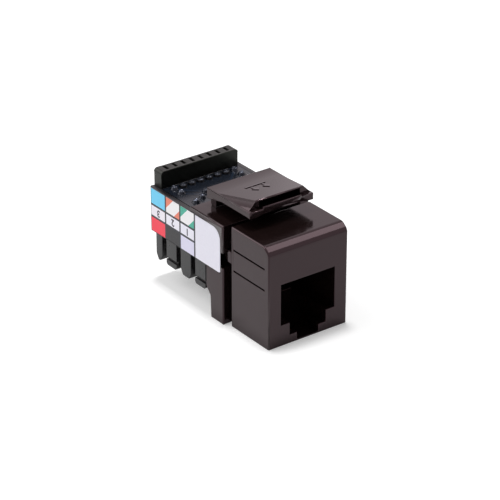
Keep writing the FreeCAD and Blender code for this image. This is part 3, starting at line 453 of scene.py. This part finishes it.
def bead_tree(material):
    """A bead on each point: a skirt that rises from a wide foot to a round rim with a dimple in it.

    The rim and the dimple's floor lie at shares of the foot's radius, and each point has its own stretch.
    """
    rim, floor_edge, dimple_depth = 0.45, 0.1, 0.3
    tree, given, ending = new_tree("solder_beads", (
        ("Foot", "NodeSocketFloat", 0.6 * MM), ("Height", "NodeSocketFloat", 0.5 * MM),
        ("Sides", "NodeSocketInt", 24), ("Rings", "NodeSocketInt", 10),
    ))
    disc = add(tree, "GeometryNodeMeshCone", {
        "Vertices": given["Sides"], "Side Segments": given["Rings"], "Radius Top": 0.0,
        "Radius Bottom": given["Foot"], "Depth": given["Height"],
    })
    flat = add(tree, "ShaderNodeVectorMath", {0: add(tree, "GeometryNodeInputPosition"), 1: (1, 1, 0)},
               operation="MULTIPLY")
    reach = add(tree, "ShaderNodeVectorMath", {0: flat}, operation="LENGTH")
    out = add(tree, "ShaderNodeMath", {0: reach, 1: given["Foot"]}, operation="DIVIDE")
    skirt = {"Value": out, "From Min": 1.0, "From Max": rim}
    dimple = {"Value": out, "From Min": rim, "From Max": floor_edge, "To Max": dimple_depth}
    rise = add(tree, "ShaderNodeMapRange", skirt, interpolation_type="SMOOTHSTEP")
    fall = add(tree, "ShaderNodeMapRange", dimple, interpolation_type="SMOOTHSTEP")
    share = add(tree, "ShaderNodeMath", {0: rise, 1: fall}, operation="SUBTRACT")
    level = add(tree, "ShaderNodeMath", {0: share, 1: given["Height"]}, operation="MULTIPLY")
    lift = add(tree, "ShaderNodeCombineXYZ", {"Z": level})
    raised = add(tree, "ShaderNodeVectorMath", {0: flat, 1: lift}, operation="ADD")
    bead = add(tree, "GeometryNodeSetPosition", {"Geometry": disc, "Position": raised})
    stretch = add(tree, "GeometryNodeInputNamedAttribute", {"Name": "stretch"}, data_type="FLOAT_VECTOR")
    placed = add(tree, "GeometryNodeInstanceOnPoints", {
        "Points": given["Geometry"], "Instance": add(tree, "GeometryNodeSetShadeSmooth", {0: bead}),
        "Scale": stretch,
    })
    close_tree(tree, ending, placed, material)
    return tree


def track_tree(material):
    """A flat track that follows the edges it is given."""
    tree, given, ending = new_tree("copper_tracks", (
        ("Width", "NodeSocketFloat", 0.3 * MM), ("Thickness", "NodeSocketFloat", 0.06 * MM),
    ))
    path = add(tree, "GeometryNodeMeshToCurve", {0: given["Geometry"]})
    section = add(tree, "GeometryNodeCurvePrimitiveQuadrilateral", {
        "Width": given["Width"], "Height": given["Thickness"],
    })
    strip = add(tree, "GeometryNodeCurveToMesh", {"Curve": path, "Profile Curve": section, "Fill Caps": True})
    flat = add(tree, "GeometryNodeSetShadeSmooth", {"Geometry": strip, "Shade Smooth": False})
    close_tree(tree, ending, flat, material)
    return tree


# Pieces

HOUSING_EDGE, BLOCK_EDGE = 0.1 * MM, 0.09 * MM
BEAD_FOOT, BEAD_HEIGHT = 0.6 * MM, 0.54 * MM
WIRE_STRETCH, CLIP_STRETCH, PEG_STRETCH = (1.0, 1.0, 1.0), (1.15, 1.15, 1.0), (1.05, 1.05, 0.4)
PEG_GAP = 0.2 * MM
TRACK_WIDTH, TRACK_THICKNESS = 0.4 * MM, 0.05 * MM
FIGURE_SIZE, FIGURE_STROKE, INK_THICKNESS = 1.6 * MM, 0.045 * MM, 0.006 * MM
SIGN_BACK = 5.65 * MM
SIGN_HEIGHT, SIGN_SINK = 0.1 * MM, 0.02 * MM
ARROW_SHIFT = 1.0
ARROW = ((-0.17, -0.7), (0.17, -0.7), (0.17, 0.25), (0.62, 0.25), (0.0, 1.2), (-0.62, 0.25), (-0.17, 0.25))
BAR = ((-1.8, -1.3), (1.8, -1.3), (1.8, -0.98), (-1.8, -0.98))


def housing(plastic):
    soft_edged("front_housing", HOUSING_EDGE, plastic)
    soft_edged("rear_collar", HOUSING_EDGE, plastic)
    soft_edged("snap_latch", HOUSING_EDGE, plastic, "latch")


def wire_block(pbt):
    soft_edged("idc_block", BLOCK_EDGE, pbt)
    soft_edged("rear_bar", BLOCK_EDGE, moulded_nylon())


def contacts():
    gold, tin = gold_plating(), tinned_bronze()
    for node in WIRES:
        smooth_copy(node, gold)
    for node in CLIPS:
        smooth_copy(node, tin)


def centre(points):
    return sum(points, Vector()) / len(points)


def pin_places(nodes):
    """Where each pin comes up out of the board."""
    board = high("circuit_board").z
    places = []
    for node in nodes:
        end = centre([v.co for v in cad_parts[node].data.vertices if v.co.z > board])
        places.append(Vector((end.x, end.y, board)))
    return places


def peg_places():
    """The middle of each moulded peg's head in the row that holds the board."""
    board = high("circuit_board")
    corners = sorted((v.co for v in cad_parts["idc_block"].data.vertices
                      if v.co.z > board.z and v.co.y < board.y), key=lambda corner: corner.x)
    heads = [[corners[0]]]
    for last, corner in zip(corners, corners[1:]):
        if corner.x - last.x > PEG_GAP:
            heads.append([])
        heads[-1].append(corner)
    return [centre(head) for head in heads]


def solder(lacquer):
    """A bead at each pin, wider at a clip's flat tail, and a low drop of the lacquer on each peg."""
    wires, clips, pegs = pin_places(WIRES), pin_places(CLIPS), peg_places()
    stretches = [WIRE_STRETCH] * len(wires) + [CLIP_STRETCH] * len(clips) + [PEG_STRETCH] * len(pegs)
    places = bpy.data.meshes.new("solder_places")
    places.from_pydata(wires + clips + pegs, [], [])
    stretch = places.attributes.new("stretch", "FLOAT_VECTOR", "POINT")
    stretch.data.foreach_set("vector", [part for given in stretches for part in given])
    beads = run_tree(bead_tree(lacquer), places, "solder_beads", Foot=BEAD_FOOT, Height=BEAD_HEIGHT)
    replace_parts(new_piece("solder_beads", beads, lacquer, "jack"), "solder_joints")


def track_path(start, end):
    """From a wire's tail sideways, then at 45 degrees, then along to a clip's tail."""
    side = 1 if end.x > start.x else -1
    ahead = 1 if end.y > start.y else -1
    slant = min(abs(end.x - start.x), abs(end.y - start.y))
    turn = Vector((end.x - side * slant, start.y, start.z))
    return [start, turn, Vector((end.x, start.y + ahead * slant, start.z)), end]


def board_tracks(copper):
    """Each wire's tail to a clip's tail on its own side."""
    wires = sorted(pin_places(WIRES), key=lambda place: place.x)
    clips = sorted(pin_places(CLIPS), key=lambda place: place.y)
    left = [place for place in clips if place.x < 0]
    right = [place for place in clips if place.x > 0]
    points, edges = [], []
    for start, end in [*zip(wires[:3], left), *zip(wires[:2:-1], right)]:
        edges += [(len(points) + step, len(points) + step + 1) for step in range(3)]
        points += track_path(start, end)
    paths = bpy.data.meshes.new("track_paths")
    paths.from_pydata(points, edges, [])
    tracks = run_tree(track_tree(copper), paths, "board_tracks", Width=TRACK_WIDTH, Thickness=TRACK_THICKNESS)
    new_piece("board_tracks", tracks, copper, "jack")


def figure_mesh(number):
    """A plain figure as a flat shape with a little thickness. It faces up, with its top to the rear."""
    curve = bpy.data.curves.new(f"figure_{number}", "FONT")
    curve.body = str(number)
    curve.size = FIGURE_SIZE
    curve.align_x = "CENTER"
    curve.align_y = "CENTER"
    curve.offset = FIGURE_STROKE
    curve.extrude = INK_THICKNESS
    return plain_mesh(curve, curve.name)


def label_figures(ink):
    """The pair numbers in the label's middle row. They read upright when the latch faces down."""
    rear, top = high("side_label").y, high("side_label").z - (ROWS[1] + ROWS[2]) / 2 * MM
    facing_out_upside_down = Matrix(((0, 0, -1), (1, 0, 0), (0, -1, 0))).to_4x4()
    shape = bmesh.new()
    for column in range(COLUMN_COUNT):
        middle = Vector((low("side_label").x, rear - (column + 0.5) * COLUMN * MM, top))
        figure = figure_mesh(COLUMN_COUNT - column)
        figure.transform(Matrix.Translation(middle) @ facing_out_upside_down)
        shape.from_mesh(figure)
    bmesh.ops.remove_doubles(shape, verts=shape.verts, dist=MERGE)
    new_piece("label_figures", mesh_from(shape, "label_figures"), ink, "jack")


def latch_arrows(plastic):
    """A raised sign on the latch: two arrows over a bar, which say this way up from the rear."""
    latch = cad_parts["snap_latch"].data
    surface = BVHTree.FromPolygons([v.co for v in latch.vertices], [f.vertices for f in latch.polygons])
    middle, above = low("snap_latch").y + SIGN_BACK, high("snap_latch").z + MM
    shape = bmesh.new()
    for outline, shift in ((ARROW, -ARROW_SHIFT), (ARROW, ARROW_SHIFT), (BAR, 0.0)):
        corners = []
        for x, y in outline:
            start = Vector(((x + shift) * MM, middle - y * MM, above))
            place = surface.ray_cast(start, Vector((0, 0, -1)))[0]
            corners.append(shape.verts.new(place - Vector((0, 0, SIGN_SINK))))
        raised = bmesh.ops.extrude_face_region(shape, geom=[shape.faces.new(corners)])
        moved = [item for item in raised["geom"] if isinstance(item, bmesh.types.BMVert)]
        bmesh.ops.translate(shape, verts=moved, vec=(0, 0, SIGN_HEIGHT + SIGN_SINK))
    bmesh.ops.recalc_face_normals(shape, faces=shape.faces)
    new_piece("latch_arrows", mesh_from(shape, "latch_arrows"), plastic, "latch")


def carried_over(pbt):
    """CAD pieces that keep their own shape."""
    for node, material in (
        ("circuit_board", solder_mask()), ("side_label", printed_film()), ("contact_carrier", pbt),
    ):
        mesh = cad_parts[node].data
        mesh.materials.clear()
        mesh.materials.append(material)


# Camera

TARGET = Vector((-4.70, -6.60, 12.53)) * MM
DISTANCE = 350 * MM
SENSOR = 36.0
LENS = 171.7
YAW, PITCH = radians(-36.44), radians(27.3)


def aim(item, place, target):
    item.location = place
    item.rotation_euler = (target - place).to_track_quat("-Z", "Y").to_euler()
    bpy.context.scene.collection.objects.link(item)


def camera():
    data = bpy.data.cameras.new("camera")
    data.sensor_width = SENSOR
    data.lens = LENS
    data.clip_start = 10 * MM
    seen = bpy.data.objects.new("camera", data)
    back = Vector((sin(YAW) * cos(PITCH), -cos(YAW) * cos(PITCH), sin(PITCH)))
    aim(seen, TARGET + back * DISTANCE, TARGET)
    bpy.context.scene.camera = seen


# Studio: a white floor under an even white sky, with soft lamps overhead, at the left and at the right.
# Each lamp has a place and a size in metres, and a power in watts.

SKY_LIGHT, SKY_SEEN = 0.16, 1.0
FLOOR_GREY = 0.8
FLOOR_GLOW, FLOOR_REFLECTED_GLOW = 0.31, 0.2
FLOOR_HALF = 1.5
LAMP_TARGET = Vector((0, 0, 10 * MM))
LAMPS = {
    "overhead": ((0.02, 0.045, 0.5), 0.1, 1.45),
    "right": ((0.265, -0.1, 0.4), 0.2, 0.28),
    "left": ((-0.45, 0.4, 0.5), 1.0, 5.0),
}


def sky():
    """White where it is seen directly or mirrored, and dimmer as a light on the object."""
    world = bpy.data.worlds.new("sky")
    bpy.context.scene.world = world
    world.use_nodes = True
    tree = world.node_tree
    tree.nodes.clear()
    path = add(tree, "ShaderNodeLightPath").outputs
    seen = add(tree, "ShaderNodeMath", {0: path["Is Camera Ray"], 1: path["Is Glossy Ray"]},
               operation="MAXIMUM")
    seen = add(tree, "ShaderNodeMath", {0: seen, 1: path["Is Transmission Ray"]}, operation="MAXIMUM")
    walls = {"Factor": path["Is Glossy Ray"], "A": linear("#ffffff"), "B": linear("#fff5f9")}
    light = add(tree, "ShaderNodeBackground", {
        "Color": add(tree, "ShaderNodeMix", walls, data_type="RGBA"),
        "Strength": add(tree, "ShaderNodeMapRange", {"Value": seen, "To Min": SKY_LIGHT, "To Max": SKY_SEEN}),
    })
    add(tree, "ShaderNodeOutputWorld", {"Surface": light})


def floor():
    """White paper that keeps the object's shade, with a glow that only the camera and mirrors see."""
    material = bpy.data.materials.new("white_studio_floor")
    material.use_nodes = True
    tree = material.node_tree
    tree.nodes.clear()
    path = add(tree, "ShaderNodeLightPath").outputs
    mirrored = add(tree, "ShaderNodeMath", {0: path["Is Glossy Ray"], 1: path["Is Transmission Ray"]},
                   operation="MAXIMUM")
    mirrored = add(tree, "ShaderNodeMath", {0: mirrored, 1: FLOOR_REFLECTED_GLOW}, operation="MULTIPLY")
    glow = add(tree, "ShaderNodeMath", {0: path["Is Camera Ray"], 1: FLOOR_GLOW, 2: mirrored},
               operation="MULTIPLY_ADD")
    paper = add(tree, "ShaderNodeBsdfDiffuse", {"Color": (FLOOR_GREY,) * 3 + (1.0,)})
    both = {0: paper, 1: add(tree, "ShaderNodeEmission", {"Strength": glow})}
    add(tree, "ShaderNodeOutputMaterial", {"Surface": add(tree, "ShaderNodeAddShader", both)})
    mesh = bpy.data.meshes.new("floor")
    corners = [(x * FLOOR_HALF, y * FLOOR_HALF, 0) for x, y in ((-1, -1), (1, -1), (1, 1), (-1, 1))]
    mesh.from_pydata(corners, [], [(0, 1, 2, 3)])
    mesh.materials.append(material)
    sheet = bpy.data.objects.new("floor", mesh)
    bpy.context.scene.collection.objects.link(sheet)


def lamps():
    for name, (place, size, power) in LAMPS.items():
        data = bpy.data.lights.new(name, "AREA")
        data.shape = "DISK"
        data.size = size
        data.energy = power
        aim(bpy.data.objects.new(name, data), Vector(place), LAMP_TARGET)


plastic, pbt = moulded_abs(), moulded_pbt()
housing(plastic)
wire_block(pbt)
contacts()
solder(lacquered_solder())
board_tracks(masked_copper())
label_figures(printing_ink())
latch_arrows(plastic)
carried_over(pbt)
camera()
sky()
floor()
lamps()
bpy.context.scene.view_settings.view_transform = "Standard"
